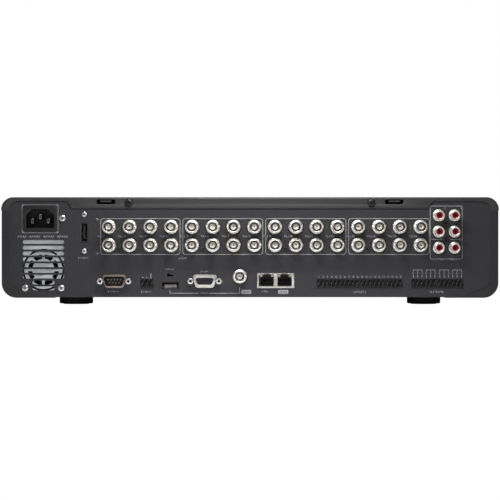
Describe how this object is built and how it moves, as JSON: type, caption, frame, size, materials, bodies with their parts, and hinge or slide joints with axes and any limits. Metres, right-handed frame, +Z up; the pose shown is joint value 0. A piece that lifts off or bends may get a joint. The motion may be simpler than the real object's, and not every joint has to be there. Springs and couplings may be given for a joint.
{
  "type": "digital video recorder",
  "caption": "Rack-width security video recorder with rear bayonet camera jacks, disc tray, keys and a jog and shuttle wheel.",
  "frame": {"origin": "centre of the overall footprint, on the surface that the feet stand on", "axes": "+Z up, front bezel faces -Y, rear panel faces +Y, +X to the right seen from the front"},
  "size_m": [0.44, 0.424, 0.0952],
  "materials": {
    "case_paint": "satin black powder coat, fine texture",
    "cover_paint": "satin black powder coat, fine texture",
    "panel_paint": "satin black paint with light grey print",
    "bezel_gloss": "gloss black moulding",
    "smoked_window": "smoked, gloss",
    "key_plastic": "satin, lightly ribbed",
    "dial_metal": "spun, brushed in rings",
    "ring_rubber": "knurled edge",
    "foot_plastic": "moulded, fine grain",
    "pad_rubber": "matte",
    "black_screw": "black oxide",
    "bright_screw": "zinc plated",
    "galvanised": "galvanised sheet",
    "nickel": "turned, nickel plated",
    "tinned": "tin plated",
    "gold_contact": "gold plated",
    "insulator": "moulded white",
    "black_plastic": "glass filled moulding",
    "red_insert": "moulded dark red",
    "circuit_board": "solder mask over glass laminate",
    "tan_board": "single-sided laminate",
    "wound_parts": "taped and sleeved components",
    "drive_body": "cast, plain",
    "brass_post": "turned hexagon",
    "lead_sleeve": "sleeved lead"
  },
  "bodies": {
    "case": {"chassis_base": "case_paint", "top_cover": "cover_paint", "rear_panel": "panel_paint", "front_bezel": "bezel_gloss", "front_window": "smoked_window", "feet": "foot_plastic", "foot_pads": "pad_rubber", "cover_screws": "black_screw", "panel_screws": "black_screw", "rear_screws": "bright_screw", "psu_case": "galvanised", "psu_lid": "galvanised", "power_inlet": "black_plastic", "inlet_blades": "nickel", "psu_fan_frame": "black_plastic", "psu_board": "tan_board", "psu_parts": "wound_parts", "psu_harness": "lead_sleeve", "main_board": "circuit_board", "video_board": "circuit_board", "board_standoffs": "brass_post", "processor_heatsink": "drive_body", "video_jack_blocks": "black_plastic", "video_jack_shells": "nickel", "video_jack_insulators": "insulator", "video_jack_contacts": "gold_contact", "audio_jack_block": "black_plastic", "audio_jack_shells": "nickel", "audio_jack_inserts": "red_insert", "serial_port_shell": "tinned", "serial_port_pins": "black_plastic", "monitor_port_shell": "nickel", "monitor_port_insert": "black_plastic", "port_jacknuts": "nickel", "av_port_shell": "tinned", "av_port_tongue": "black_plastic", "network_ports_shield": "tinned", "network_ports_inserts": "black_plastic", "disk_port_shell": "tinned", "disk_port_tongue": "black_plastic", "terminal_headers": "black_plastic", "terminal_pins": "tinned", "hard_drives": "drive_body", "drive_cage": "galvanised", "disc_drive_case": "galvanised", "disc_drive_mechanism": "black_plastic", "control_board": "circuit_board", "usb_ports": "tinned"},
    "psu_fan_rotor": {"psu_fan_rotor": "black_plastic"},
    "disc_tray": {"disc_tray": "bezel_gloss"},
    "jog_dial": {"jog_dial": "dial_metal"},
    "shuttle_ring": {"shuttle_ring": "ring_rubber"},
    "eject_button": {"eject_button": "key_plastic"},
    "power_button": {"power_button": "key_plastic"},
    "key_menu": {"key_menu": "key_plastic"},
    "key_search": {"key_search": "key_plastic"},
    "key_record": {"key_record": "key_plastic"},
    "key_play": {"key_play": "key_plastic"},
    "key_stop": {"key_stop": "key_plastic"},
    "key_copy": {"key_copy": "key_plastic"}
  },
  "joints": [
    {"name": "fan_spin", "type": "hinge", "parent": "case", "child": "psu_fan_rotor", "pos_m": [0.18275, 0.185, 0.0309], "axis": [0, 1, 0], "continuous": true},
    {"name": "tray_slide", "type": "slide", "parent": "case", "child": "disc_tray", "axis": [0, -1, 0], "range_m": [0, 0.138]},
    {"name": "jog_turn", "type": "hinge", "parent": "case", "child": "jog_dial", "pos_m": [0.152, -0.2, 0.0502], "axis": [0, -1, 0], "continuous": true},
    {"name": "shuttle_turn", "type": "hinge", "parent": "case", "child": "shuttle_ring", "pos_m": [0.152, -0.2, 0.0502], "axis": [0, -1, 0], "range_deg": [-75, 75], "stiffness_Nm_per_rad": 0.02},
    {"name": "eject_button_press", "type": "slide", "parent": "case", "child": "eject_button", "axis": [0, 1, 0], "range_m": [0, 0.001], "stiffness_N_per_m": 400},
    {"name": "power_button_press", "type": "slide", "parent": "case", "child": "power_button", "axis": [0, 1, 0], "range_m": [0, 0.001], "stiffness_N_per_m": 400},
    {"name": "key_menu_press", "type": "slide", "parent": "case", "child": "key_menu", "axis": [0, 1, 0], "range_m": [0, 0.001], "stiffness_N_per_m": 400},
    {"name": "key_search_press", "type": "slide", "parent": "case", "child": "key_search", "axis": [0, 1, 0], "range_m": [0, 0.001], "stiffness_N_per_m": 400},
    {"name": "key_record_press", "type": "slide", "parent": "case", "child": "key_record", "axis": [0, 1, 0], "range_m": [0, 0.001], "stiffness_N_per_m": 400},
    {"name": "key_play_press", "type": "slide", "parent": "case", "child": "key_play", "axis": [0, 1, 0], "range_m": [0, 0.001], "stiffness_N_per_m": 400},
    {"name": "key_stop_press", "type": "slide", "parent": "case", "child": "key_stop", "axis": [0, 1, 0], "range_m": [0, 0.001], "stiffness_N_per_m": 400},
    {"name": "key_copy_press", "type": "slide", "parent": "case", "child": "key_copy", "axis": [0, 1, 0], "range_m": [0, 0.001], "stiffness_N_per_m": 400}
  ]
}
